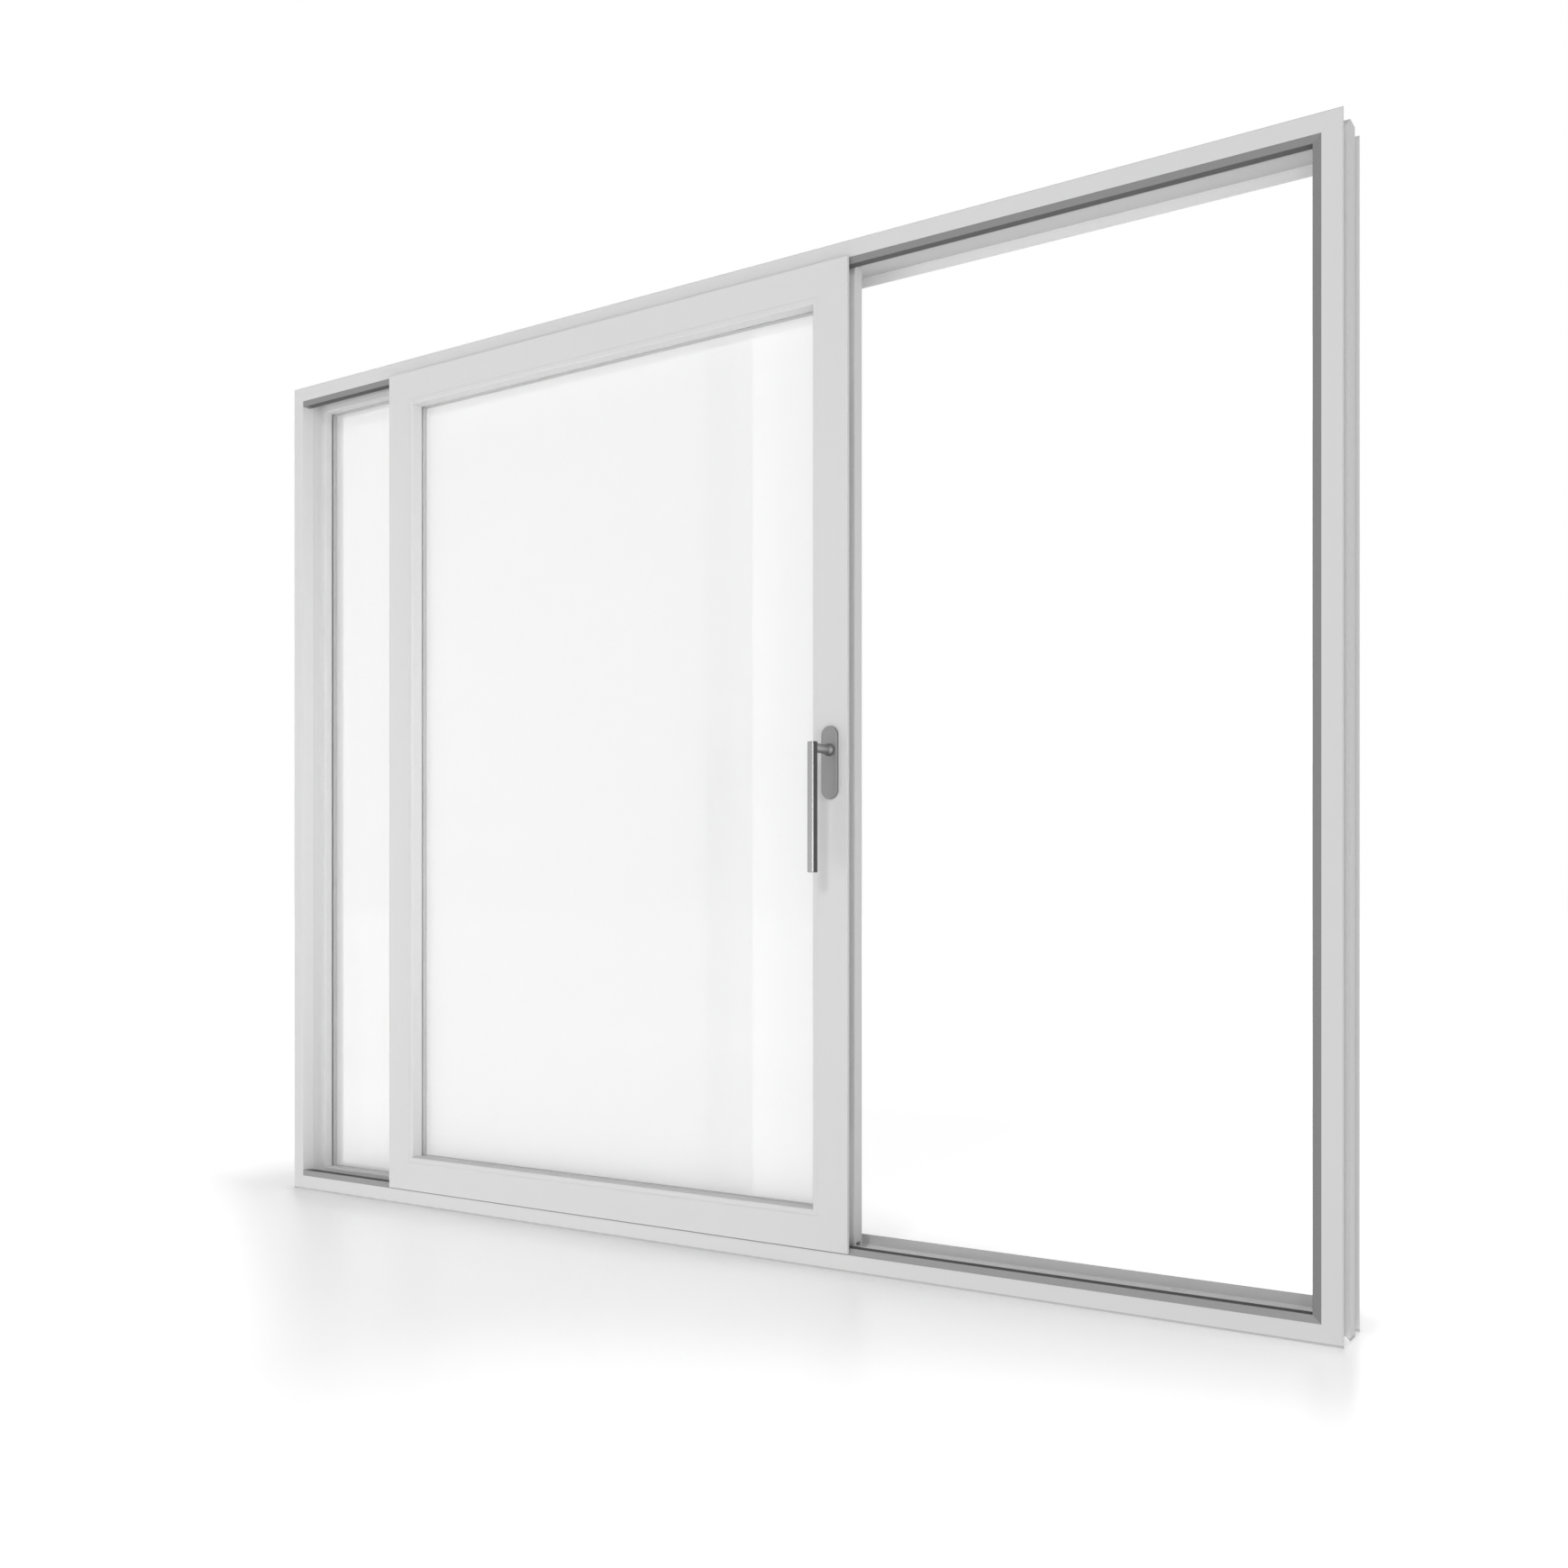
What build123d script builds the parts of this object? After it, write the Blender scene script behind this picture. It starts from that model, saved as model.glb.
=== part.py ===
"""
Lift-and-slide patio door of thermally broken aluminium profiles, seen from the room side.

The left half is a fixed light in the outer plane. The right half is an opening, and a
glazed sash slides across it in the inner plane on two roller carriages. Turning the bar
handle half a turn lowers the sash from its rollers.

Millimetres. +X to the right, +Y to the outside, +Z up. The origin is the middle of the
sill's underside, at mid depth. In cross-sections, "inward" is measured from the outer edge
of a frame or sash towards its glass, and "back" from the room face of the frame outwards.
"""
import os

from build123d import *

# Frame
frame_width = 2785
frame_height = 2200
frame_depth = 130
face_width = 37.5
frame_wall = 2.5
fin_thickness = 4
recess_depth = 8
inner_shell_depth = 36
break_depth = 19
break_recess = 1
wall_pad_depth = 37
face_ease = 2

# Weep slots that drain the sill's channel through its chamber to the outside
weep_slots = 4
weep_width = 30
weep_height = 6
weep_end_gap = 330

# Grey track inserts at the mouth of the channel, each with a brush seal let into it
insert_height = 15
insert_depth = 22
seal_depth = 2
seal_margin = 1.5
seal_end_gap = 14

# Rear lip that the fixed light lies against
lip_height = 21.5
lip_depth = 18
lip_crest = 2.5
lip_fall = 10

# Gaps that the moving pieces keep
running_gap = 5
lift_travel = 5
gap_under_lowered_sash = 0.5
gap_over_lifted_sash = 0.9
gap_beside_closed_sash = 2.5
slip_fit = 0.3

# Sash
sash_width = 1388
sash_open_by = 969
flange_thickness = 8
sash_face = 72.5
rear_body_depth = 30
rebate_floor = 68
sash_lip_depth = 10
sash_wall = 2.5
flange_ease = 1
joint_line = 0.5

# Glazing
pane_thickness = 6
cavity = 12
gasket_thickness = 3
gasket_height = 8
gasket_setback = 0.2
glass_edge_gap = 4
bead_width = 13.5
spacer_width = 12
fixed_bead_width = 17
bead_lead = 1.5

# Meeting stile and interlock
interlock_thickness = 3
interlock_reach = 12
interlock_end_gap = 24
meeting_stile_width = 93
meeting_stile_overlap = 81

# Running rail, carriages and guides
rail_width = 6
rail_crown_radius = 2.8
rail_height = 10.5
rail_foot_width = 10
rail_foot_height = 2
wheel_radius = 16
wheel_flange = 1.5
wheel_groove_play = 0.5
wheel_width = 9
wheel_spacing = 100
axle_radius = 3
carriage_length = 160
carriage_height = 30
carriage_width = 16
carriage_inset = 210
carriage_corner_radius = 7.5
carriage_side_gap = 2
carriage_head_gap = 8
lift_pin_radius = 4
guide_length = 90
guide_gap = 1
guide_inset = 130

# Lock edge: a long faceplate with hook slots on the sash, and keeps in the lock jamb's insert
faceplate_width = 18
faceplate_thickness = 2
faceplate_end_gap = 260
hook_spacing = 614
hook_slot_width = 6
hook_slot_length = 34
hook_pocket_depth = 8
keep_length = 150
keep_thickness = 2

# Handle
handle_height = 1114
handle_inset = 41
rosette_width = 39
rosette_height = 156
rosette_thickness = 8
rosette_drop = 27
rosette_recess = 5
rosette_edge_radius = 2
neck_radius = 13
neck_collar = 2
neck_waist_radius = 10
neck_flare = 16
bar_radius = 10.5
bar_end_ease = 1
bar_standoff = 74
bar_above_axis = 12
bar_length = 274
bar_cover_depth = 3
spindle_side = 10
spindle_bore_radius = 8
spindle_length = 26

# What follows is worked out from the sizes above
room_face = -frame_depth / 2
frame_left = -frame_width / 2
frame_right = frame_width / 2
outer_shell_back = inner_shell_depth + break_depth
lip_back = frame_depth - lip_depth

flange_back = -running_gap
flange_front = flange_back - flange_thickness
rear_body_back = insert_depth + running_gap
sash_back = rear_body_back + rear_body_depth
rear_inset = running_gap - gap_under_lowered_sash
groove_depth = insert_height + running_gap - gap_under_lowered_sash
sash_profile_width = sash_face + bead_width
sash_bottom = face_width + gap_under_lowered_sash + lift_travel
sash_top = frame_height - face_width - gap_over_lifted_sash
sash_height = sash_top - sash_bottom
closed_right = frame_right - face_width - gap_beside_closed_sash
closed_left = closed_right - sash_width
sash_right = closed_right - sash_open_by
sash_left = sash_right - sash_width

unit_thickness = 2 * pane_thickness + cavity
sash_unit_back = sash_back - sash_lip_depth - gasket_thickness
sash_unit_front = sash_unit_back - unit_thickness
fixed_unit_back = lip_back - gasket_thickness
fixed_unit_front = fixed_unit_back - unit_thickness
fixed_front = sash_back + running_gap

meeting_right = closed_left + meeting_stile_overlap
meeting_left = meeting_right - meeting_stile_width
meeting_step = closed_left + rear_inset + running_gap
meeting_bead_front = sash_back + interlock_reach + running_gap

track_back = rear_body_back + rear_body_depth / 2
rail_top = face_width + rail_height
axle_height = rail_top + slip_fit + wheel_radius
carriage_bottom = axle_height - carriage_height / 3
carriage_top = carriage_bottom + carriage_height
slot_width = carriage_width + 2 * carriage_side_gap
slot_floor = carriage_top + carriage_head_gap + lift_travel - sash_bottom
handle_x = sash_right - handle_inset
hook_heights = [handle_height + step * hook_spacing for step in (-1, 0, 1)]


def slab(x, back, z):
    """A straight block between three pairs of limits, with its depth counted from the room face."""
    size = Box(x[1] - x[0], back[1] - back[0], z[1] - z[0])
    return Pos((x[0] + x[1]) / 2, room_face + (back[0] + back[1]) / 2, (z[0] + z[1]) / 2) * size


def outline(*points):
    """A closed cross-section from (inward, back) corners."""
    corners = [(back, inward) for inward, back in points]
    return make_face(Polyline(*corners, close=True))


def rectangle(inward, back):
    """A rectangular cross-section, or a chamber to take away from one."""
    return Pos((back[0] + back[1]) / 2, (inward[0] + inward[1]) / 2) * Rectangle(
        back[1] - back[0], inward[1] - inward[0]
    )


def bar(section, start, end, mitre_start=True, mitre_end=True):
    """A length of profile along X with its outer edge on Z = 0, and square or 45 degree ends."""
    length = Pos(start, 0, 0) * extrude(Plane.YZ * section, end - start)
    if mitre_start:
        length = split(length, Plane(origin=(start, 0, 0), z_dir=(1, 0, -1)), keep=Keep.TOP)
    if mitre_end:
        length = split(length, Plane(origin=(end, 0, 0), z_dir=(-1, 0, -1)), keep=Keep.TOP)
    return length


def sides(left, right, bottom, top):
    """Where the four bars of a rectangular frame go, each with its length."""
    return {
        "bottom": (Pos(left, room_face, bottom), right - left),
        "right": (Pos(right, room_face, bottom) * Rot(0, -90, 0), top - bottom),
        "top": (Pos(right, room_face, top) * Rot(0, 180, 0), right - left),
        "left": (Pos(left, room_face, top) * Rot(0, 90, 0), top - bottom),
    }


def hoop(left, right, bottom, top, width, back):
    """A closed rectangular ring, such as a gasket or a spacer."""
    outside = slab((left, right), back, (bottom, top))
    inside = slab((left + width, right - width), back, (bottom + width, top - width))
    return outside - inside


def inner_shell():
    """Room side extrusion: the face that shows, its wall fin and one chamber."""
    shell = outline(
        (0, face_ease),
        (face_ease, 0),
        (face_width, 0),
        (face_width, inner_shell_depth),
        (recess_depth, inner_shell_depth),
        (recess_depth, fin_thickness),
        (0, fin_thickness),
    )
    chamber_in = (recess_depth + frame_wall, face_width - frame_wall)
    chamber_back = (fin_thickness + frame_wall, inner_shell_depth - frame_wall)
    return shell - rectangle(chamber_in, chamber_back)


def outer_shell():
    """Outside extrusion without its lip: wall pad, rear fin and one chamber under the channel."""
    pad_back = outer_shell_back + wall_pad_depth
    shell = outline(
        (0, outer_shell_back),
        (0, pad_back),
        (recess_depth, pad_back),
        (recess_depth, frame_depth - fin_thickness),
        (0, frame_depth - fin_thickness),
        (0, frame_depth),
        (face_width, frame_depth),
        (face_width, outer_shell_back),
    )
    chamber_in = (recess_depth + frame_wall, face_width - frame_wall)
    chamber_back = (outer_shell_back + frame_wall, lip_back - frame_wall)
    return shell - rectangle(chamber_in, chamber_back)


def rear_lip():
    """The lip at the back of the channel, falling away to the outside so that it sheds water."""
    crest = face_width + lip_height
    return outline(
        (face_width, lip_back),
        (crest, lip_back),
        (crest, lip_back + lip_crest),
        (crest - lip_fall, frame_depth),
        (face_width, frame_depth),
    )


def thermal_break():
    """The insulating bar between the two shells, with a fine shadow line along each joint."""
    floor = face_width - break_recess
    return outline(
        (recess_depth + break_recess, inner_shell_depth),
        (floor, inner_shell_depth),
        (floor, inner_shell_depth + break_recess),
        (face_width, inner_shell_depth + break_recess),
        (face_width, outer_shell_back - break_recess),
        (floor, outer_shell_back - break_recess),
        (floor, outer_shell_back),
        (recess_depth + break_recess, outer_shell_back),
    )


def frame_members():
    """The four mitred sides of the frame, each an inner and an outer shell."""
    names = {"bottom": "sill", "right": "right_jamb", "top": "head", "left": "left_jamb"}
    made = {}
    breaks = []
    for side, (place, length) in sides(frame_left, frame_right, 0, frame_height).items():
        lip = bar(rear_lip(), 0, length)
        outer = bar(outer_shell(), 0, length)
        if side == "bottom":
            cut = meeting_right - frame_left
            door_side = Plane(origin=(cut, 0, 0), z_dir=(1, 0, 0))
            made["threshold_strip"] = place * split(lip, door_side, keep=Keep.TOP)
            lip = split(lip, door_side, keep=Keep.BOTTOM)
        made[names[side] + "_inner_profile"] = place * bar(inner_shell(), 0, length)
        if side == "bottom":
            outer -= weeps(length)
        made[names[side] + "_outer_profile"] = place * (outer + lip)
        joint = slip_fit / 2
        breaks.append(place * bar(thermal_break(), joint, length - joint))
    made["thermal_breaks"] = Compound(children=breaks)
    return made


def weeps(length):
    """Slots from the channel's floor into the sill's chamber, and on through its outside wall."""
    room_side = lip_back - frame_wall - weep_width / 2
    pitch = (length - 2 * weep_end_gap) / (weep_slots - 1)
    cuts = []
    for slot in range(weep_slots):
        x = (weep_end_gap + slot * pitch - weep_width / 2, weep_end_gap + slot * pitch + weep_width / 2)
        bottom = recess_depth + frame_wall
        drain = slab(x, (room_side, room_side + weep_height), (bottom, face_width + 1))
        outlet = slab(x, (room_side, frame_depth + 1), (bottom, bottom + weep_height))
        cuts += [Pos(0, -room_face, 0) * drain, Pos(0, -room_face, 0) * outlet]
    return cuts


def track_inserts():
    """Grey strips that the sash's groove runs round, with brush seals and lock keeps let in."""
    crest = face_width + insert_height
    strip = rectangle((face_width, crest), (0, insert_depth))
    seal = rectangle((crest - seal_depth, crest), (seal_margin, insert_depth - seal_margin))
    short = face_width + seal_end_gap
    place = {side: where for side, (where, _) in sides(frame_left, frame_right, 0, frame_height).items()}
    runs = {
        "bottom": dict(start=face_width, end=frame_width, mitre_start=False),
        "right": dict(start=0, end=frame_height),
        "top": dict(start=0, end=frame_width - face_width, mitre_end=False),
    }
    seal_runs = {
        "bottom": dict(start=short, end=frame_width, mitre_start=False),
        "right": dict(start=0, end=frame_height),
        "top": dict(start=0, end=frame_width - short, mitre_end=False),
    }
    names = {"bottom": "sill_track_insert", "right": "lock_jamb_insert", "top": "head_track_insert"}
    keeps, hooks = lock_keeps(frame_right - crest)
    made = {}
    seals = []
    for side, run in runs.items():
        pile = place[side] * bar(seal, **seal_runs[side])
        body = place[side] * bar(strip, **run) - pile
        if side == "right":
            body -= hooks
            pile -= keeps + hooks
        made[names[side]] = body
        seals += pile.solids()
    made["track_seals"] = Compound(children=seals)
    made["lock_keeps"] = Compound(children=[keep - hooks for keep in keeps])
    return made


def lock_keeps(face):
    """Steel plates flush in the lock jamb, and the slots that the lock's hooks reach through."""
    across = ((insert_depth - faceplate_width) / 2, (insert_depth + faceplate_width) / 2)
    middle = insert_depth / 2
    keeps = []
    hooks = []
    for height in hook_heights:
        plate_z = (height - keep_length / 2, height + keep_length / 2)
        slot_z = (height - hook_slot_length / 2, height + hook_slot_length / 2)
        slot_back = (middle - hook_slot_width / 2, middle + hook_slot_width / 2)
        keeps.append(slab((face, face + keep_thickness), across, plate_z))
        hooks.append(slab((face - 1, face + hook_pocket_depth), slot_back, slot_z))
    return keeps, hooks


def running_rail():
    """Stainless rail on the sill with a rounded crown."""
    foot = rectangle(
        (face_width, face_width + rail_foot_height),
        (track_back - rail_foot_width / 2, track_back + rail_foot_width / 2),
    )
    web = rectangle((face_width, rail_top), (track_back - rail_width / 2, track_back + rail_width / 2))
    section = foot + web
    crown = section.vertices().group_by(Axis.Y)[-1]
    section = fillet(crown, rail_crown_radius)
    rail = bar(section, face_width, frame_width - face_width, mitre_start=False, mitre_end=False)
    return Pos(frame_left, room_face, 0) * rail


def meeting_stile(members):
    """The fixed light's stile behind the closed sash, stepped to let the interlock in."""
    rebate = meeting_left + fixed_bead_width
    corners = [
        (rebate, meeting_bead_front),
        (meeting_step, meeting_bead_front),
        (meeting_step, fixed_front),
        (meeting_right, fixed_front),
        (meeting_right, frame_depth),
        (meeting_left, frame_depth),
        (meeting_left, lip_back),
        (rebate, lip_back),
    ]
    section = make_face(Polyline(*[(x, room_face + back) for x, back in corners], close=True))
    chamber_x = (meeting_step + frame_wall, meeting_right - frame_wall)
    chamber_back = (fixed_front + frame_wall, frame_depth - frame_wall)
    section -= Pos(
        (chamber_x[0] + chamber_x[1]) / 2, room_face + (chamber_back[0] + chamber_back[1]) / 2
    ) * Rectangle(chamber_x[1] - chamber_x[0], chamber_back[1] - chamber_back[0])
    stile = extrude(Pos(0, 0, face_width) * section, frame_height - 2 * face_width)
    return stile - members["head_outer_profile"] - members["sill_outer_profile"]


def glazing(left, right, bottom, top, front, sight):
    """Two panes, their spacer and two gaskets; sight is how far the bead covers the glass."""
    first = (front, front + pane_thickness)
    gap = (first[1], first[1] + cavity)
    second = (gap[1], gap[1] + pane_thickness)
    x, z = (left, right), (bottom, top)
    spacer_edge = sight - spacer_width
    seal_edge = sight - gasket_setback - gasket_height
    seal = (left + seal_edge, right - seal_edge, bottom + seal_edge, top - seal_edge, gasket_height)
    spacer = (left + spacer_edge, right - spacer_edge, bottom + spacer_edge, top - spacer_edge)
    return {
        "inner_pane": slab(x, first, z),
        "outer_pane": slab(x, second, z),
        "spacer": hoop(*spacer, spacer_width, gap),
        "gaskets": Compound(
            children=[
                hoop(*seal, (front - gasket_thickness, front)),
                hoop(*seal, (second[1], second[1] + gasket_thickness)),
            ]
        ),
    }


def fixed_light():
    """The fixed glass in the outer plane, held from the room side by four beads."""
    made = {}
    left, right = frame_left + face_width, meeting_left + fixed_bead_width
    bottom, top = face_width, frame_height - face_width
    bead_back = fixed_unit_front - gasket_thickness
    for side, (place, length) in sides(left, right, bottom, top).items():
        front = meeting_bead_front if side == "right" else fixed_front
        bead = outline(
            (0, front),
            (fixed_bead_width - bead_lead, front),
            (fixed_bead_width, front + bead_lead),
            (fixed_bead_width, bead_back),
            (0, bead_back),
        )
        made["fixed_bead_" + side] = place * bar(bead, 0, length)
    edge = glass_edge_gap
    unit = glazing(
        left + edge, right - edge, bottom + edge, top - edge, fixed_unit_front, fixed_bead_width - edge
    )
    for name, solid in unit.items():
        made["fixed_" + name] = solid
    deep = made["fixed_bead_right"]
    for side in ("top", "bottom"):
        made["fixed_bead_" + side] -= deep
    return made


def sash_profile(slot_inward=0):
    """The sash's cross-section: face flange, running groove, rear body, glass rebate and rear lip."""
    bead_back = sash_unit_front - gasket_thickness
    lip_front = sash_back - sash_lip_depth
    profile = outline(
        (0, flange_front + flange_ease),
        (flange_ease, flange_front),
        (sash_face, flange_front),
        (sash_face, bead_back),
        (rebate_floor, bead_back),
        (rebate_floor, lip_front),
        (sash_profile_width, lip_front),
        (sash_profile_width, sash_back),
        (rear_inset, sash_back),
        (rear_inset, rear_body_back),
        (groove_depth, rear_body_back),
        (groove_depth, flange_back),
        (0, flange_back),
    )
    front_chamber = rectangle(
        (groove_depth + sash_wall, sash_face - sash_wall), (flange_front + sash_wall, bead_back - sash_wall)
    )
    rear_chamber_start = rear_inset + sash_wall
    if slot_inward:
        rear_chamber_start = slot_inward + sash_wall
        slot = rectangle((0, slot_inward), (track_back - slot_width / 2, track_back + slot_width / 2))
        profile -= slot
    if rebate_floor - sash_wall - rear_chamber_start > sash_wall:
        profile -= rectangle(
            (rear_chamber_start, rebate_floor - sash_wall), (rear_body_back + sash_wall, sash_back - sash_wall)
        )
    return profile - front_chamber


def sash_members():
    """Stiles, rails and beads of the sash, mitred and with the rail's way cut through the stiles."""
    names = {"bottom": "bottom_rail", "right": "lock_stile", "top": "top_rail", "left": "meeting_stile"}
    made = {}
    bead_back = sash_unit_front - gasket_thickness
    bead = outline(
        (sash_face, flange_front + joint_line),
        (sash_face + joint_line, flange_front),
        (sash_profile_width - bead_lead, flange_front),
        (sash_profile_width, flange_front + bead_lead),
        (sash_profile_width, bead_back),
        (sash_face, bead_back),
    )
    rail_way = slab(
        (sash_left - 1, sash_right + 1),
        (track_back - slot_width / 2, track_back + slot_width / 2),
        (sash_bottom - 1, rail_top + lift_travel + running_gap),
    )
    spindle_bore = Pos(handle_x, room_face + flange_front, handle_height) * Rot(90, 0, 0) * Cylinder(
        spindle_bore_radius, 2 * (flange_thickness + sash_wall)
    )
    for side, (place, length) in sides(sash_left, sash_right, sash_bottom, sash_top).items():
        profile = sash_profile(slot_floor if side == "bottom" else 0)
        member = place * bar(profile, 0, length) - rail_way
        if side == "right":
            member -= [spindle_bore] + hook_slots()
        made["sash_" + names[side]] = member
        made["sash_bead_" + side] = place * bar(bead, 0, length)

    edge = rebate_floor + glass_edge_gap
    unit = glazing(
        sash_left + edge,
        sash_right - edge,
        sash_bottom + edge,
        sash_top - edge,
        sash_unit_front,
        sash_profile_width - edge,
    )
    for name, solid in unit.items():
        made["sash_" + name] = solid
    return made


def hook_slots():
    """Slots in the sash's lock edge that the hooks come out through."""
    groove_floor = sash_right - groove_depth
    middle = insert_depth / 2
    return [
        slab(
            (groove_floor - sash_wall - 1, groove_floor + faceplate_thickness + 1),
            (middle - hook_slot_width / 2, middle + hook_slot_width / 2),
            (height - hook_slot_length / 2, height + hook_slot_length / 2),
        )
        for height in hook_heights
    ]


def sash_fittings():
    """Interlock plate, lock faceplate, top guides and lift pins, all carried by the sash."""
    plate_right = sash_left + rear_inset
    interlock = slab(
        (plate_right - interlock_thickness, plate_right),
        (flange_back, sash_back + interlock_reach),
        (sash_bottom + interlock_end_gap, sash_top - interlock_end_gap),
    )
    groove_floor = sash_right - groove_depth
    faceplate_back = (insert_depth - faceplate_width) / 2
    faceplate = slab(
        (groove_floor, groove_floor + faceplate_thickness),
        (faceplate_back, faceplate_back + faceplate_width),
        (sash_bottom + faceplate_end_gap, sash_top - faceplate_end_gap),
    )
    pins = [
        Pos(x, room_face + track_back, slot_floor + sash_bottom)
        * Cylinder(
            lift_pin_radius,
            slot_floor + sash_bottom - carriage_bottom,
            align=(Align.CENTER, Align.CENTER, Align.MAX),
        )
        for x in carriage_centres()
    ]
    return {
        "sash_interlock": interlock,
        "lock_faceplate": faceplate - hook_slots(),
        "top_guides": Compound(children=[top_guide(x) for x in guide_centres()]),
        "lift_pins": Compound(children=pins),
    }


def carriage_centres():
    return [sash_left + carriage_inset, sash_right - carriage_inset]


def guide_centres():
    return [sash_left + guide_inset, sash_right - guide_inset]


def top_guide(x):
    """A nylon shoe in the top rail's groove that straddles the head's track insert."""
    across = (x - guide_length / 2, x + guide_length / 2)
    floor = sash_top - groove_depth
    insert_edge = frame_height - face_width - insert_height
    shoe = slab(across, (flange_back, rear_body_back), (floor, insert_edge + running_gap))
    insert_way = slab(across, (-guide_gap, insert_depth + guide_gap), (floor + 1, sash_top))
    return shoe - insert_way


def carriages():
    """Two roller carriages on the running rail, each a housing round two grooved wheels."""
    housings = []
    rollers = []
    centre_y = room_face + track_back
    for centre in carriage_centres():
        housing = slab(
            (centre - carriage_length / 2, centre + carriage_length / 2),
            (track_back - carriage_width / 2, track_back + carriage_width / 2),
            (carriage_bottom, carriage_top),
        )
        ends = housing.edges().filter_by(Axis.Y)
        housing = fillet(ends, carriage_corner_radius)
        bore = lift_pin_radius + slip_fit
        housing -= Pos(centre, centre_y, carriage_bottom) * Cylinder(bore, 3 * carriage_height)
        for offset in (-wheel_spacing / 2, wheel_spacing / 2):
            pocket_half = wheel_radius + wheel_flange + 1
            housing -= slab(
                (centre + offset - pocket_half, centre + offset + pocket_half),
                (track_back - wheel_width / 2 - 1, track_back + wheel_width / 2 + 1),
                (carriage_bottom - 1, carriage_top + 1),
            )
            at_axle = Pos(centre + offset, centre_y, axle_height)
            housing -= at_axle * Rot(90, 0, 0) * Cylinder(axle_radius + slip_fit / 2, carriage_width)
            rollers.append(at_axle * wheel())
        housings.append(housing)
    return {
        "carriage_housings": Compound(children=housings),
        "carriage_rollers": Compound(children=rollers),
    }


def wheel():
    """A grooved wheel with its axle, turned about the Y axis."""
    half = wheel_width / 2
    groove = rail_width / 2 + wheel_groove_play
    rim = wheel_radius + wheel_flange
    half_axle = carriage_width / 2
    turned = make_face(
        Polyline(
            (0, -half_axle),
            (axle_radius, -half_axle),
            (axle_radius, -half),
            (rim, -half),
            (rim, -groove),
            (wheel_radius, -groove),
            (wheel_radius, groove),
            (rim, groove),
            (rim, half),
            (axle_radius, half),
            (axle_radius, half_axle),
            (0, half_axle),
            close=True,
        )
    )
    return revolve(turned, Axis.Y)


def handle():
    """The rosette, and the covered bar handle with its flared neck and square spindle."""
    face = room_face + flange_front
    front = face - rosette_thickness
    rosette_z = handle_height - rosette_drop
    plate = Plane.XZ * SlotOverall(rosette_height, rosette_width, rotation=90)
    rosette = Pos(handle_x, face, rosette_z) * extrude(plate, rosette_thickness)
    rosette = fillet(rosette.faces().sort_by(Axis.Y)[0].edges(), rosette_edge_radius)
    axis = Pos(handle_x, 0, handle_height)
    bowl = Plane.XZ * Circle(neck_radius + slip_fit)
    rosette -= axis * Pos(0, front + rosette_recess, 0) * extrude(bowl, 2 * rosette_recess)
    through = Plane.XZ * Circle(spindle_bore_radius)
    rosette -= axis * Pos(0, face + 1, 0) * extrude(through, rosette_thickness)

    bar_y = face - bar_standoff
    bar_bottom = handle_height + bar_above_axis - bar_length
    grip = Pos(handle_x, bar_y, bar_bottom) * Cylinder(
        bar_radius, bar_length, align=(Align.CENTER, Align.CENTER, Align.MIN)
    )
    grip = chamfer(grip.edges().filter_by(GeomType.CIRCLE), bar_end_ease)
    cover_back = Plane(origin=(0, bar_y - bar_radius + bar_cover_depth, 0), z_dir=(0, 1, 0))

    seat = front + rosette_recess - slip_fit
    flare = [(0, seat), (neck_radius, seat), (neck_radius, front - neck_collar)]
    waist = (neck_waist_radius, front - neck_flare)
    end = (neck_waist_radius, bar_y)
    side = Polyline(*flare) + Spline(flare[-1], waist, tangents=((0, -1), (0, -1)))
    side += Polyline(waist, end, (0, bar_y), (0, seat))
    neck = axis * revolve(make_face(side), Axis.Y)
    neck -= grip
    spindle = Plane.XZ * Rectangle(spindle_side, spindle_side)
    neck += axis * Pos(0, seat + spindle_length, 0) * extrude(spindle, spindle_length)
    return {
        "handle_rosette": rosette,
        "handle_neck": neck,
        "handle_bar": split(grip, cover_back, keep=Keep.TOP),
        "handle_bar_cover": split(grip, cover_back, keep=Keep.BOTTOM),
    }


def all_parts():
    parts = frame_members()
    parts.update(track_inserts())
    parts["running_rail"] = running_rail()
    parts["fixed_meeting_stile"] = meeting_stile(parts)
    parts.update(fixed_light())
    parts.update(sash_members())
    parts.update(sash_fittings())
    parts.update(carriages())
    parts.update(handle())
    return parts


os.makedirs("parts", exist_ok=True)
for node, solid in all_parts().items():
    export_step(solid, "parts/" + node + ".step")
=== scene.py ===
import math

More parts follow.
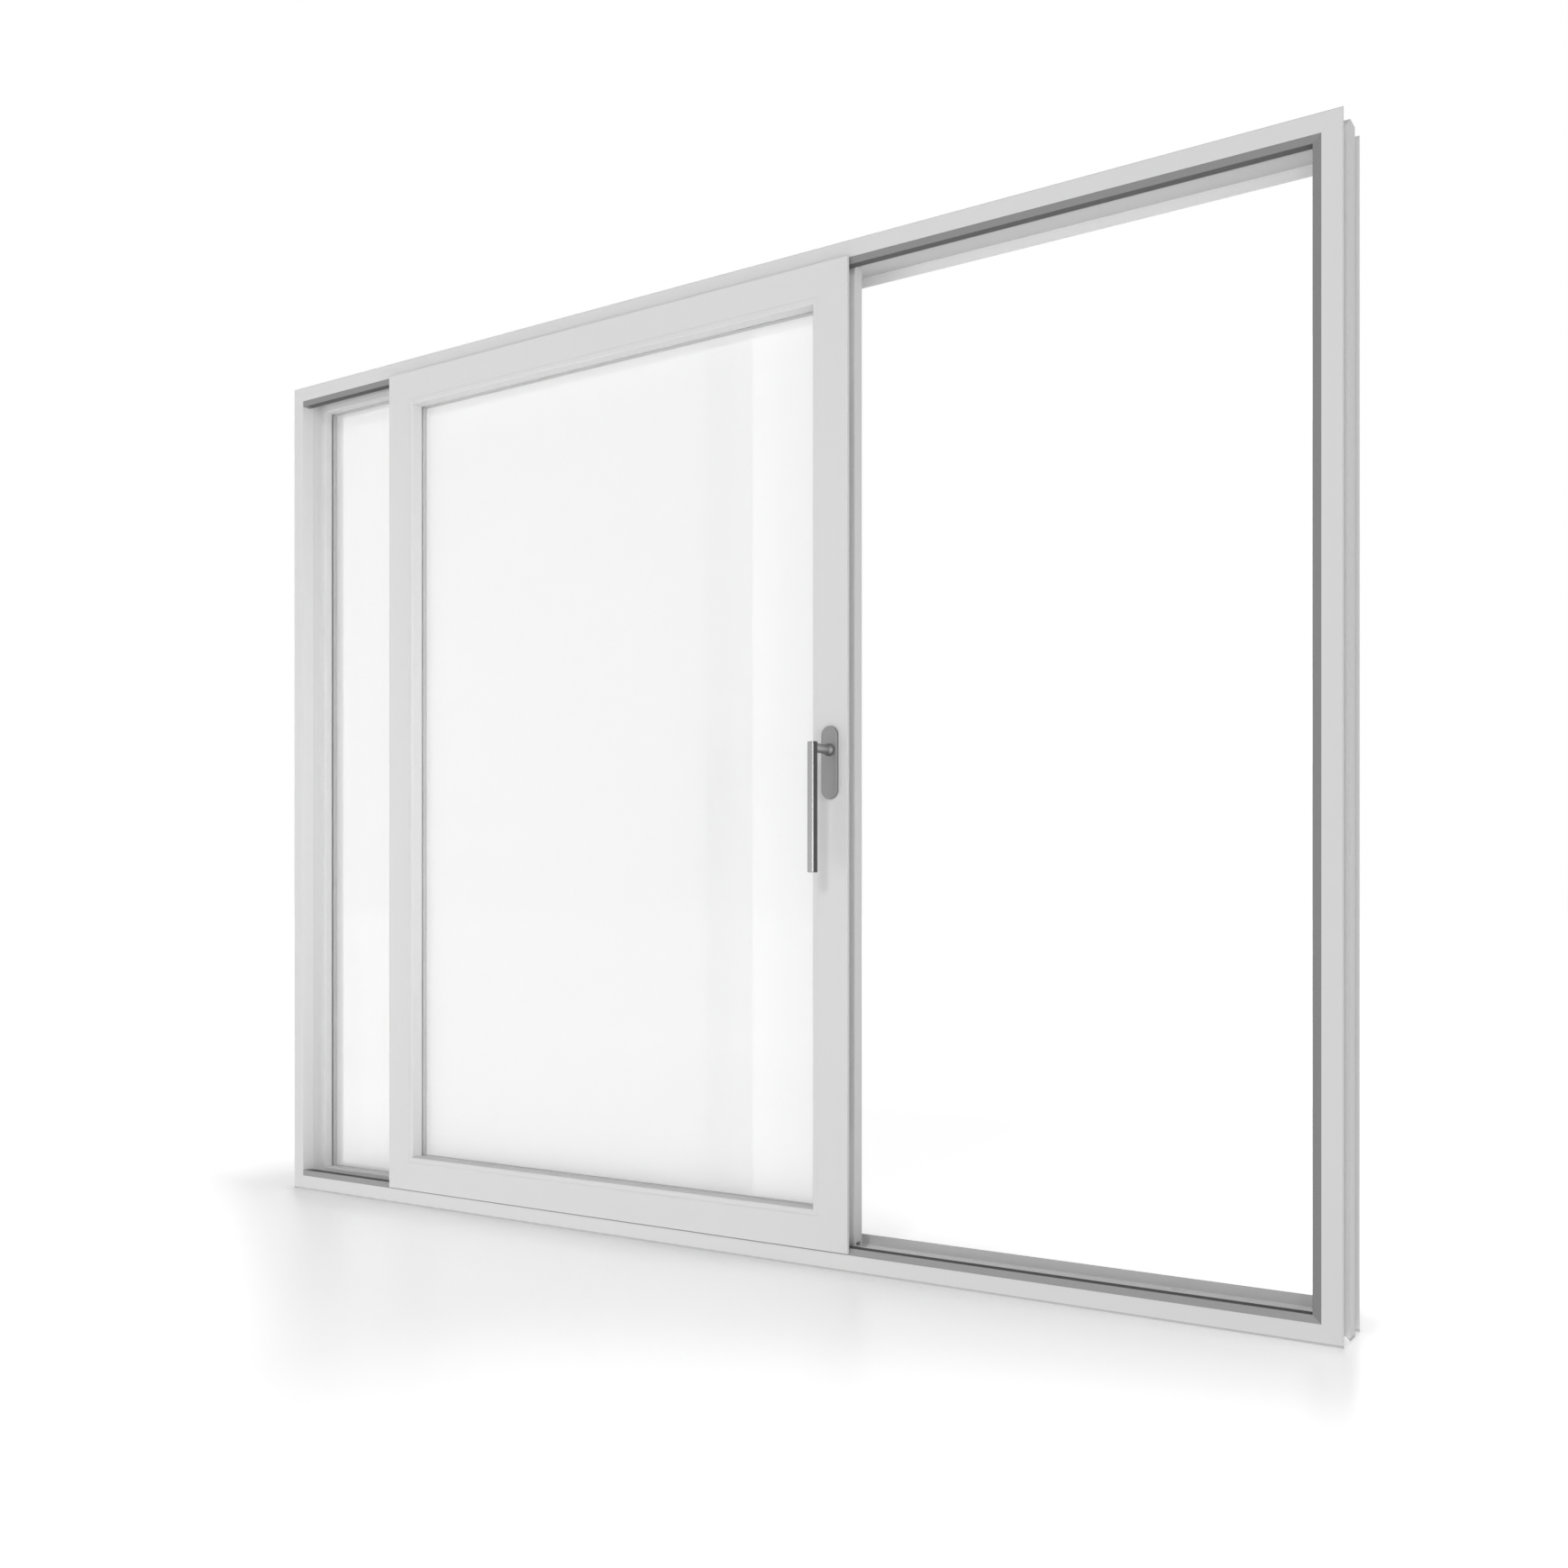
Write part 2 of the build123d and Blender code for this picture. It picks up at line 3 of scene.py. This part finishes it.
import bpy
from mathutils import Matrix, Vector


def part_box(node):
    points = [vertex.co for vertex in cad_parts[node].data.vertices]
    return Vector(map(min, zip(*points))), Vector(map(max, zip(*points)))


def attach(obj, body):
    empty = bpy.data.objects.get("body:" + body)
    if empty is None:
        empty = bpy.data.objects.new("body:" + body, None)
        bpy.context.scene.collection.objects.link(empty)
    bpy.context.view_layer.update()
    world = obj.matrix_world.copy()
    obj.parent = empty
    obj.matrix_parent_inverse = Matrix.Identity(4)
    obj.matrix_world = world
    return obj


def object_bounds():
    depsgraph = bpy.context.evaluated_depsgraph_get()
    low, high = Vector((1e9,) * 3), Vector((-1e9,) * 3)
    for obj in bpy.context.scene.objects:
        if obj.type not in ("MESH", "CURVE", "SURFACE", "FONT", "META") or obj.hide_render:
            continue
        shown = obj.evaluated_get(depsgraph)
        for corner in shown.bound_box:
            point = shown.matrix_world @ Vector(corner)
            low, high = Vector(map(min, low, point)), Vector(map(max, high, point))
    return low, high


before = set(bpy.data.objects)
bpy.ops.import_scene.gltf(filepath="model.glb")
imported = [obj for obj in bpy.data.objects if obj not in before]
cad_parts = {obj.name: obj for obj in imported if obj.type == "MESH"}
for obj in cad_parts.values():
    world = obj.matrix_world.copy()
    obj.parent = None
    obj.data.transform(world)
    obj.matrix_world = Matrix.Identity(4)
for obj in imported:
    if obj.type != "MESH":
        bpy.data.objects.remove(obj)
cad_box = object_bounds()

# The camera stands where the photographer's did: low, right of the open half, on the room side.
# A wide lens kept level, with its frame slid upwards, holds the jambs upright in the picture.
eye = (2.022, -2.868, 0.796)
turned_left = math.radians(32.8)
camera = bpy.data.cameras.new("camera")
camera.lens = 35
camera.sensor_width = 36
camera.shift_y = 0.0734
viewer = bpy.data.objects.new("camera", camera)
viewer.location = eye
viewer.rotation_euler = (math.pi / 2, 0, turned_left)
bpy.context.scene.collection.objects.link(viewer)
bpy.context.scene.camera = viewer
bpy.context.scene.view_settings.view_transform = "Standard"


# The frame's and the sash's profiles are aluminium, extruded, mitred at the corners and powder
# coated in one pale grey. The coat is matt with a fine orange peel, and it softens every edge.
# The head's rear channel is painted greyer than its lip, as painted shade, and the head's lip and
# the sill's channel are painted paler than the rest, as painted light.
def grey(level):
    return (level, level, level, 1.0)


class Reading:
    """A value that varies over a finish, for use in sums, differences and products."""

    def __init__(self, recipe, socket):
        self.recipe = recipe
        self.socket = socket

    def __add__(self, other):
        return self.recipe.maths("ADD", self, other)

    __radd__ = __add__

    def __mul__(self, other):
        return self.recipe.maths("MULTIPLY", self, other)

    __rmul__ = __mul__

    def __sub__(self, other):
        return self.recipe.maths("SUBTRACT", self, other)

    def __rsub__(self, other):
        return self.recipe.maths("SUBTRACT", other, self)

    def __lt__(self, other):
        return self.recipe.maths("LESS_THAN", self, other)

    def beside(self, output):
        """Another output of the same node."""
        return Reading(self.recipe, self.socket.node.outputs[output])


class Recipe:
    """Nodes laid up one by one in a tree."""

    def __init__(self, tree):
        self.tree = tree

    def node(self, kind, settings=None, inputs=(), output=0):
        """Adds a node with its settings first, then the values or links of its sockets."""
        made = self.tree.nodes.new(kind)
        for key, value in (settings or {}).items():
            if key == "stops":
                ramp = made.color_ramp
                while len(ramp.elements) < len(value):
                    ramp.elements.new(0.5)
                for element, (position, colour) in zip(ramp.elements, value):
                    element.position = position
                    element.color = colour
            else:
                setattr(made, key, value)
        pairs = inputs.items() if isinstance(inputs, dict) else enumerate(inputs)
        for socket, value in pairs:
            self.plug(made.inputs[socket], value)
        return Reading(self, made.outputs[output])

    def maths(self, operation, *values):
        return self.node("ShaderNodeMath", {"operation": operation}, values)

    def plug(self, socket, value):
        if isinstance(value, Reading):
            self.tree.links.new(value.socket, socket)
        else:
            socket.default_value = value

    def spot(self, coordinates="Object"):
        """How far right, back and up each spot lies."""
        here = self.node("ShaderNodeTexCoord", output=coordinates)
        right = self.node("ShaderNodeSeparateXYZ", inputs=[here], output="X")
        return right, right.beside("Y"), right.beside("Z")


class Finish(Recipe):
    """One material, laid up on its shader."""

    def __init__(self, name):
        self.material = bpy.data.materials.new(name)
        self.material.use_nodes = True
        super().__init__(self.material.node_tree)
        self.shader = self.tree.nodes["Principled BSDF"]

    def set(self, socket, value):
        self.plug(self.shader.inputs[socket], value)

    def look(self, colour, roughness, metallic=0.0):
        """Sets what every finish has, each one plain or varying over the piece."""
        self.set("Base Color", colour)
        self.set("Roughness", roughness)
        self.set("Metallic", metallic)

    def noise(self, scale, detail=2.0, stretch=(1, 1, 1)):
        """A cloudy value from 0 to 1, stretched so that a pattern can run along an axis."""
        here = self.node("ShaderNodeTexCoord", output="Object")
        place = self.node("ShaderNodeMapping", inputs={"Vector": here, "Scale": stretch})
        inputs = {"Vector": place, "Scale": scale, "Detail": detail}
        return self.node("ShaderNodeTexNoise", inputs=inputs, output="Fac")

    def tint(self, amount, first, second):
        """A colour between two, by a value from 0 to 1."""
        first_colour, second_colour, mixed_colour = 6, 7, 2  # the Mix node's colour sockets
        inputs = {"Factor": amount, first_colour: first, second_colour: second}
        return self.node("ShaderNodeMix", {"data_type": "RGBA"}, inputs, output=mixed_colour)

    def relief(self, height, depth, edge=0.0):
        """Bump from a height, over edges rounded by the given radius."""
        inputs = {"Height": height, "Distance": depth, "Strength": 1.0}
        if edge:
            inputs["Normal"] = self.node("ShaderNodeBevel", {"samples": 4}, {"Radius": edge})
        self.set("Normal", self.node("ShaderNodeBump", inputs=inputs))


def dress(finish, *nodes):
    """Gives the finish to CAD nodes."""
    for name in nodes:
        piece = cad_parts[name]
        piece.data.materials.clear()
        piece.data.materials.append(finish.material)


coat_dark, coat_light = 0.68, 0.70
# Painted shade: the coat is painted greyer within a few millimetres of the floor, where the door's
# foot meets it.
foot_height, foot_painted_shade = 0.005, 0.50
lip_front, lip_thickness = 0.0465, 0.001


def powder_coat_and_painted_light(name, channel_painted_grey=coat_light, lip_painted_grey=coat_light):
    """Matt coat, with a painted shade along its foot at the floor, and with the painted shade and
    painted light of the rear channel.
    """
    finish = Finish(name)
    cloud = finish.noise(1.6, 3.0)
    peel = finish.noise(900.0)
    _, back, height = finish.spot()
    in_channel = back < lip_front
    on_lip = (back < lip_front + lip_thickness) - in_channel
    colour = finish.tint(cloud, grey(coat_dark), grey(coat_light))
    for part, level in ((height < foot_height, foot_painted_shade), (in_channel, channel_painted_grey), (on_lip, lip_painted_grey)):
        if level != coat_light:
            colour = finish.tint(part, colour, grey(level))
    finish.look(colour, 0.58 + 0.12 * cloud + 0.04 * peel)
    finish.set("Specular IOR Level", 0.35)
    finish.relief(peel, 0.00006, 0.0006)
    return finish


coat = powder_coat_and_painted_light("pale_grey_powder_coat")
for side in ("sill", "head", "left_jamb", "right_jamb"):
    dress(coat, side + "_inner_profile", side + "_outer_profile")
for side in ("left", "right", "top", "bottom"):
    dress(coat, "fixed_bead_" + side, "sash_bead_" + side)
dress(coat, "sash_meeting_stile", "sash_lock_stile", "sash_top_rail", "sash_bottom_rail")
dress(coat, "fixed_meeting_stile", "sash_interlock")
# Painted shade in the head's rear channel and painted light on its lip, and painted light in the
# sill's channel.
dress(powder_coat_and_painted_light("head_powder_coat", channel_painted_grey=0.57, lip_painted_grey=0.84), "head_outer_profile")
dress(powder_coat_and_painted_light("sill_powder_coat", channel_painted_grey=0.94), "sill_outer_profile")

# Grey strips line the mouth of the channel on three sides, and a paler lip closes the sill's back
# across the opening. They are drawn in rigid plastic and clipped into the profiles. The three grey
# strips are one plastic, painted paler on the sill as painted light and darker on the head and the
# jamb as painted shade.
for name, node, dark, light in (
    ("head_track_grey", "head_track_insert", 0.23, 0.26),
    ("jamb_track_grey", "lock_jamb_insert", 0.21, 0.235),
    ("sill_track_grey", "sill_track_insert", 0.30, 0.33),
    ("threshold_grey", "threshold_strip", 0.62, 0.66),
):
    strip = Finish(name)
    grain = strip.noise(300.0)
    strip.look(strip.tint(grain, grey(dark), grey(light)), 0.44 + 0.12 * grain)
    strip.relief(grain, 0.00004, 0.0005)
    dress(strip, node)


# Dense dark brush pile is let into the grey strips and wipes the sash's groove. Its tufts stand
# 2 mm proud in close rows, each leaning a little its own way, and make way for the lock's keeps.
class Pattern(Recipe):
    """A small shape repeated at places on a piece, each place with the way that it rises."""

    def __init__(self, name, sizes):
        super().__init__(bpy.data.node_groups.new(name, "GeometryNodeTree"))
        self.sizes = sizes
        self.corners, self.runs, self.rises = [], [], []
        sockets = self.tree.interface
        sockets.new_socket("Places", in_out="INPUT", socket_type="NodeSocketGeometry")
        for label, value in sizes.items():
            socket = sockets.new_socket(label, in_out="INPUT", socket_type="NodeSocketFloat")
            socket.default_value = value
        sockets.new_socket("Pieces", in_out="OUTPUT", socket_type="NodeSocketGeometry")
        self.given = self.tree.nodes.new("NodeGroupInput")
        self.result = self.tree.nodes.new("NodeGroupOutput")

    def size(self, label):
        return Reading(self, self.given.outputs[label])

    def repeat(self, shape, finish, lean=0.0):
        """Ends the tree: the shape at each place, or at each step along the runs."""
        places = self.size("Places")
        if "Spacing" in self.sizes:
            line = self.node("GeometryNodeMeshToCurve", inputs=[places])
            inputs = {"Curve": line, "Length": self.size("Spacing")}
            places = self.node("GeometryNodeResampleCurve", {"mode": "LENGTH"}, inputs)
        vector = {"data_type": "FLOAT_VECTOR"}
        rise = self.node("GeometryNodeInputNamedAttribute", vector, {"Name": "rise"})
        if lean:
            limits = {"Min": (-lean, -lean, -lean), "Max": (lean, lean, lean), "Seed": 7}
            sway = self.node("FunctionNodeRandomValue", vector, limits)
            rise = self.node("ShaderNodeVectorMath", {"operation": "ADD"}, [rise, sway])
        turn = self.node("FunctionNodeAlignRotationToVector", {"axis": "Z"}, {"Vector": rise})
        inputs = {"Points": places, "Instance": shape, "Rotation": turn}
        laid = self.node("GeometryNodeInstanceOnPoints", inputs=inputs)
        real = self.node("GeometryNodeRealizeInstances", inputs=[laid])
        inputs = {"Geometry": real, "Material": finish.material}
        self.plug(self.result.inputs[0], self.node("GeometryNodeSetMaterial", inputs=inputs))

    def at(self, rise, *points):
        """Adds single places."""
        self.corners += points
        self.rises += [rise] * len(points)

    def along(self, rise, start, end):
        """Adds a straight run of places."""
        self.runs.append((len(self.corners), len(self.corners) + 1))
        self.at(rise, start, end)

    def lay(self, name, body, slot):
        """Grows the pattern into a plain mesh that rides on a body."""
        mesh = bpy.data.meshes.new(name)
        mesh.from_pydata(self.corners, self.runs, [])
        rises = mesh.attributes.new("rise", "FLOAT_VECTOR", "POINT")
        rises.data.foreach_set("vector", [part for rise in self.rises for part in rise])
        piece = bpy.data.objects.new(name, mesh)
        bpy.context.scene.collection.objects.link(piece)
        growth = piece.modifiers.new("growth", "NODES")
        growth.node_group = self.tree
        for item in self.tree.interface.items_tree:
            if item.name in self.sizes:
                growth[item.identifier] = self.sizes[item.name]
        seen = piece.evaluated_get(bpy.context.evaluated_depsgraph_get())
        grown = bpy.data.meshes.new_from_object(seen)
        piece.modifiers.remove(growth)
        grown.materials.pop(index=0)  # the empty slot of the mesh that held the places
        piece.data = grown
        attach(piece, body)


pile = Finish("brush_pile")
fluff = pile.noise(1400.0)
pile.look(pile.tint(fluff, grey(0.08), grey(0.17)), 0.85)
pile.relief(fluff, 0.0004)
dress(pile, "track_seals")

brush = Pattern("brush_tufts", {"Spacing": 0.0035, "Height": 0.002, "Root": 0.0007})
tuft = brush.node("GeometryNodeMeshCone", {"fill_type": "NGON"}, {
    "Vertices": 5,
    "Radius Top": 0.0,
    "Radius Bottom": brush.size("Root"),
    "Depth": brush.size("Height"),
})
brush.repeat(tuft, pile, lean=0.12)
pile_rows = 5
pile_inset = 0.003
pile_setback = 0.016
hook_heights = [0.5, 1.114, 1.728]
keep_reach = 0.077
(head_left, front, head_low), (_, back, _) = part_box("head_track_insert")
_, (_, _, sill_high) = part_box("sill_track_insert")
(jamb_face, _, _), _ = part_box("lock_jamb_insert")
jamb_stops = [sill_high]
for height in hook_heights:
    jamb_stops += [height - keep_reach, height + keep_reach]
jamb_stops.append(head_low)
for row in range(pile_rows):
    y = front + pile_inset + row * (back - front - 2 * pile_inset) / (pile_rows - 1)
    for rise, z in (((0, 0, -1), head_low), ((0, 0, 1), sill_high)):
        brush.along(rise, (head_left + pile_setback, y, z), (jamb_face, y, z))
    for low, high in zip(jamb_stops[::2], jamb_stops[1::2]):
        brush.along((-1, 0, 0), (jamb_face, y, low), (jamb_face, y, high))
brush.lay("seal_tufts", "frame", "brush_seal")

# Thermal breaks keep the cold out: pale bars of glass-filled nylon, rolled in between the two
# shells of each profile. Only their edges show, as fine lines in the reveal.
insulating = Finish("insulating_bar")
fibre = insulating.noise(600.0)
insulating.look(insulating.tint(fibre, grey(0.62), grey(0.68)), 0.55)
insulating.relief(fibre, 0.00004)
dress(insulating, "thermal_breaks")

# Each glass unit is two panes of float glass. The outer pane has a milky sun coating on its inner
# face, which carries a painted glow for the white daylight coming through it, and the inner pane is
# clear.
clear_alpha = 0.05
milky_grey = 0.72
painted_glow = 0.235
for unit, milky_alpha in (("sash", 0.88), ("fixed", 0.65)):
    milky = Finish(unit + "_milky_glass")
    milky.look(grey(milky_grey), 0.07)
    (_, front, _), (_, back, _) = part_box(unit + "_outer_pane")
    _, depth, _ = milky.spot()
    coated = depth < (front + back) / 2
    milky.set("Alpha", clear_alpha + (milky_alpha - clear_alpha) * coated)
    # Painted glow: the coated face gives off a little light of its own.
    milky.set("Emission Color", painted_glow * coated)
    milky.set("Emission Strength", 1.0)
    dress(milky, unit + "_outer_pane")
clear_glass = Finish("clear_glass")
smear = clear_glass.noise(3.0)
clear_glass.look((0.93, 0.94, 0.94, 1.0), 0.02 + 0.03 * smear)
clear_glass.set("Alpha", clear_alpha)
dress(clear_glass, "fixed_inner_pane", "sash_inner_pane")

# A hollow spacer of mill aluminium runs round the edge of each unit and keeps its panes apart.
# It is bent to a frame and bonded to both, and its face against the inner pane is painted paler, as
# painted light.
painted_light_depth = 0.0003
for unit in ("fixed", "sash"):
    spacer = Finish(unit + "_mill_aluminium")
    (_, front, _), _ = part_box(unit + "_spacer")
    _, depth, _ = spacer.spot()
    # Painted light: the face against the inner pane is made paler than the rest of the spacer.
    painted_light_face = depth < front + painted_light_depth
    drawn = spacer.noise(500.0, stretch=(1, 0.05, 1))
    spacer.look(spacer.tint(painted_light_face, grey(0.52), grey(0.80)), 0.35 + 0.15 * drawn, 0.2)
    dress(spacer, unit + "_spacer")

# The spacer's face towards the cavity is punched with two rows of fine holes, through which the
# drying beads inside it take up moisture. They are dark discs a hair above the face, whose dark is
# painted shade standing in for the hollow behind each hole.
hole = Finish("spacer_hole")
hollow = hole.noise(900.0)
# Painted shade: each hole is a flat dark disc.
hole.look(grey(0.10), 0.5 + 0.2 * hollow)
hole_pitch = 0.008
row_inset = 0.004
spacer_height = 0.012
above_face = 0.00006
for unit, body in (("fixed", "frame"), ("sash", "sash")):
    holes = Pattern(unit + "_hole_rows", {"Spacing": hole_pitch, "Radius": 0.0006})
    disc = holes.node("GeometryNodeMeshCircle", {"fill_type": "NGON"}, {
        "Vertices": 8,
        "Radius": holes.size("Radius"),
    })
    holes.repeat(disc, hole)
    (left, front, low), (right, back, high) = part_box(unit + "_spacer")
    left, right = left + (spacer_height + above_face), right - (spacer_height + above_face)
    low, high = low + (spacer_height + above_face), high - (spacer_height + above_face)
    for y in (front + row_inset, back - row_inset):
        for x, rise in ((left, (1, 0, 0)), (right, (-1, 0, 0))):
            holes.along(rise, (x, y, low + hole_pitch), (x, y, high - hole_pitch))
        for z, rise in ((low, (0, 0, 1)), (high, (0, 0, -1))):
            holes.along(rise, (left + hole_pitch, y, z), (right - hole_pitch, y, z))
    holes.lay(unit + "_spacer_holes", body, "spacer")

# Gaskets of pale grey rubber press each glass unit between its rebate and its beads. They are
# extruded, pushed into grooves and flush with the profiles.
rubber = Finish("gasket_rubber")
dull = rubber.noise(400.0)
rubber.look(grey(0.78), 0.6 + 0.15 * dull)
dress(rubber, "fixed_gaskets", "sash_gaskets")

# The running rail, the wheels, the lift pins, the lock's faceplate and its keeps are stainless
# steel, rolled or turned and left bright, because they carry the sash or bear its hooks.
stainless = Finish("stainless_steel")
rolled = stainless.noise(400.0, 3.0, (0.02, 1, 1))
stainless.look((0.46, 0.46, 0.45, 1.0), 0.24 + 0.15 * rolled, 1.0)
dress(stainless, "running_rail", "carriage_rollers", "lift_pins", "lock_faceplate", "lock_keeps")

# Flat socket screws of plated steel hold the faceplate and its keeps beside each hook slot, and
# the faceplate at its ends too.
plated = Finish("plated_screw")
turning = plated.noise(1500.0)
plated.look(grey(0.24), 0.36 + 0.12 * turning, 1.0)
end_gap = 0.015
for name, body, node, side, slot_gap in (
    ("faceplate_screws", "sash", "lock_faceplate", 1, 0.055),
    ("keep_screws", "frame", "lock_keeps", -1, 0.058),
):
    (left, front, low), (right, back, high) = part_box(node)
    heights = [height + way * slot_gap for height in hook_heights for way in (-1, 1)]
    if node == "lock_faceplate":
        heights += [low + end_gap, high - end_gap]
    sizes = {"Head": 0.0033, "Rise": 0.0005, "Socket": 0.5, "Sink": -0.0012}
    screws = Pattern(name, sizes)
    head = screws.node("GeometryNodeMeshCylinder", {"fill_type": "NGON"}, {
        "Vertices": 18,
        "Radius": screws.size("Head"),
        "Depth": screws.size("Rise"),
    })
    rim = screws.node("GeometryNodeExtrudeMesh", inputs={
        "Mesh": head,
        "Selection": head.beside("Top"),
        "Offset Scale": 0.0,
    })
    mouth = screws.node("GeometryNodeScaleElements", inputs={
        "Geometry": rim,
        "Selection": rim.beside("Top"),
        "Scale": screws.size("Socket"),
    })
    sunk = screws.node("GeometryNodeExtrudeMesh", inputs={
        "Mesh": mouth,
        "Selection": rim.beside("Top"),
        "Offset Scale": screws.size("Sink"),
    })
    screws.repeat(sunk, plated)
    face = right if side > 0 else left
    screws.at((side, 0, 0), *[(face, (front + back) / 2, height) for height in heights])
    screws.lay(name, body, "stainless_steel")

# Two carriages in the bottom rail's slot carry the sash. Their housings are die cast in zinc and
# keep the dull skin of the mould.
zinc = Finish("zinc_casting")
cast = zinc.noise(250.0, 3.0)
zinc.look((0.32, 0.32, 0.33, 1.0), 0.5, 0.7)
zinc.relief(cast, 0.0001, 0.0005)
dress(zinc, "carriage_housings")

# Two shoes of black nylon, near the ends of the top rail, guide the sash's head along its strip.
# They are moulded and sit in the rail's groove.
nylon = Finish("black_nylon")
moulded = nylon.noise(300.0)
nylon.look(grey(0.05), 0.45)
nylon.relief(moulded, 0.00004, 0.0004)
dress(nylon, "top_guides")

# The handle turns in an oblong rosette of satin stainless steel. It is brushed lengthwise and
# hides its own two screws.
plate = Finish("satin_rosette")
satin = plate.noise(700.0, stretch=(1, 1, 0.04))
plate.look(grey(0.29), 0.38 + 0.1 * satin, 0.8)
plate.relief(satin, 0.00002, 0.0006)
dress(plate, "handle_rosette")

# The front half of the handle's grip is a stainless steel bar, brushed along its length and with
# softened edges, so that it shines beside the dark half behind it.
brushed = Finish("brushed_bar")
strokes = brushed.noise(900.0, 3.0, (1, 1, 0.02))
brushed.look(brushed.tint(strokes, grey(0.37), grey(0.41)), 0.20 + 0.06 * strokes, 1.0)
brushed.relief(strokes, 0.000008, 0.0004)
dress(brushed, "handle_bar_cover")

# The handle's neck is stainless steel too, turned to a flare, with fine rings from the lathe. It
# carries the grip and sits on the square spindle.
turned = Finish("turned_neck")
rings = turned.noise(900.0, stretch=(1, 0.05, 1))
turned.look(turned.tint(rings, grey(0.31), grey(0.35)), 0.38 + 0.08 * rings, 1.0)
turned.relief(rings, 0.00001, 0.0004)
dress(turned, "handle_neck")

# The back half of the grip is aluminium with a dark satin coat. The cover is fixed to its front,
# and its own sides are nearly black in the photo. That near-black is partly the coat's own dark and
# partly a painted dark reflection along the grip's side.
core = Finish("dark_satin_coat")
matt = core.noise(800.0)
core.look(grey(0.035), 0.46 + 0.1 * matt)
core.relief(matt, 0.00003, 0.0004)
dress(core, "handle_bar")

# The studio is white all round. Its floor is satin paper, painted grey under the door as painted
# shade and as a painted, blurred reflection of the jambs, and to the eye it fades into the white
# wall behind.
floor_reach = 60.0
floor_corners = [
    (-floor_reach, -floor_reach, 0),
    (floor_reach, -floor_reach, 0),
    (floor_reach, floor_reach, 0),
    (-floor_reach, floor_reach, 0),
]
floor_mesh = bpy.data.meshes.new("studio_floor")
floor_mesh.from_pydata(floor_corners, [], [(0, 1, 2, 3)])
floor = bpy.data.objects.new("studio_floor", floor_mesh)
bpy.context.scene.collection.objects.link(floor)
paper = Finish("studio_paper")
paper.look(grey(0.85), 0.34)


def shown(recipe):
    """1 for a ray that shows the studio to the eye, in a reflection or through glass, else 0."""
    rays = ("Is Camera Ray", "Is Glossy Ray", "Is Transmission Ray")
    return sum(recipe.node("ShaderNodeLightPath", output=ray) for ray in rays)


# The floor's painted grey, its painted shade and reflection of the door, narrows like a fan from
# the door's foot towards the viewer. It is gone sooner beside and behind the door than before it.
across, back, _ = paper.spot()
half_door, half_depth = cad_box[1][:2]
fan_middle = 2.02
fan_length = 2.8
fan_least = 0.2
left_haste, right_haste, rear_haste = 4, 12, 3
before = paper.maths("MAXIMUM", -1 * back - half_depth, 0.0)
behind = rear_haste * paper.maths("MAXIMUM", back - half_depth, 0.0)
fan = paper.maths("DIVIDE", fan_length, paper.maths("MAXIMUM", fan_length - before, fan_least))
along_foot = fan_middle + (across - fan_middle) * fan
left_of = paper.maths("MAXIMUM", -1 * along_foot - half_door, 0.0)
right_of = paper.maths("MAXIMUM", along_foot - half_door, 0.0)
beside = left_haste * left_of + right_haste * right_of
outwards = before + behind
slant = paper.maths("MAXIMUM", 1.1 + across, 0.95)
away = slant * paper.maths("SQRT", beside * beside + outwards * outwards)
fade_length = 8.0
painted_floor_shade = [
    (0.0, 0.10), (0.006, 0.17), (0.02, 0.26), (0.08, 0.31), (0.14, 0.42), (0.25, 0.56), (0.8, 0.74),
]
stops = {"stops": [(place, grey(level)) for place, level in painted_floor_shade]}
glow = paper.node("ShaderNodeValToRGB", stops, [away * (1 / fade_length)])
# The floor is painted darker further behind the door, and paler right of the middle.
dimmed = paper.maths("MINIMUM", 0.05 * behind, 0.3)
glow = glow * (1 - dimmed) + 0.1 * paper.maths("MAXIMUM", across, 0.0)
floor_bounce = 0.55
in_view = shown(paper)
paper.set("Emission Color", in_view * glow + (1 - in_view) * floor_bounce)
paper.set("Emission Strength", 1.0)
floor_mesh.materials.append(paper.material)

# The wall round the door is plain white to the eye. It lights the door more weakly than it looks,
# and a little more from the right, as the faces that are turned that way show in the photo.
world = bpy.data.worlds.new("studio")
world.use_nodes = True
bpy.context.scene.world = world
walls = Recipe(world.node_tree)
to_right, to_back, _ = walls.spot("Generated")
glow = 0.315 - 0.02 * to_back + 0.13 * to_right
in_view = shown(walls)
background = world.node_tree.nodes["Background"]
background.inputs["Color"].default_value = grey(1.0)
walls.plug(background.inputs["Strength"], in_view + (1 - in_view) * glow)


# Four soft boxes light the door: a main one from the upper right, which throws the handle's short
# shadow, a wide one low in front, a slim one for the handle's highlight, and a narrow one that
# reaches through the opening to the left reveal.
def softbox(name, place, aim, width, height, watts):
    """A lamp with a soft white front at a place, turned towards a point."""
    lamp = bpy.data.lights.new(name, "AREA")
    lamp.shape = "RECTANGLE"
    lamp.size = width
    lamp.size_y = height
    lamp.energy = watts
    holder = bpy.data.objects.new(name, lamp)
    holder.location = place
    bpy.context.scene.collection.objects.link(holder)
    away = [a - b for a, b in zip(place, aim)]
    flat = math.hypot(away[0], away[1])
    holder.rotation_euler = (math.atan2(flat, away[2]), 0, math.atan2(away[0], -away[1]))
    return holder


key_lamp = softbox("key_lamp", (3.3, -12.0, 7.1), (0, 0, 1.1), 1.8, 1.8, 340)
low_lamp = softbox("low_lamp", (-2.2, -5.0, 0.4), (-0.9, 0, 1.2), 4.0, 0.4, 34)
softbox("handle_lamp", (3.2, -4.3, 1.2), (0.34, -0.15, 1.0), 0.35, 1.8, 10)
reveal_lamp = softbox("reveal_lamp", (4.0, -1.75, 1.2), (-3.9, -0.06, 1.1), 0.8, 2.2, 5.0)
reveal_lamp.data.spread = math.radians(30)
for lamp in (key_lamp, low_lamp, reveal_lamp):
    lamp.visible_glossy = False
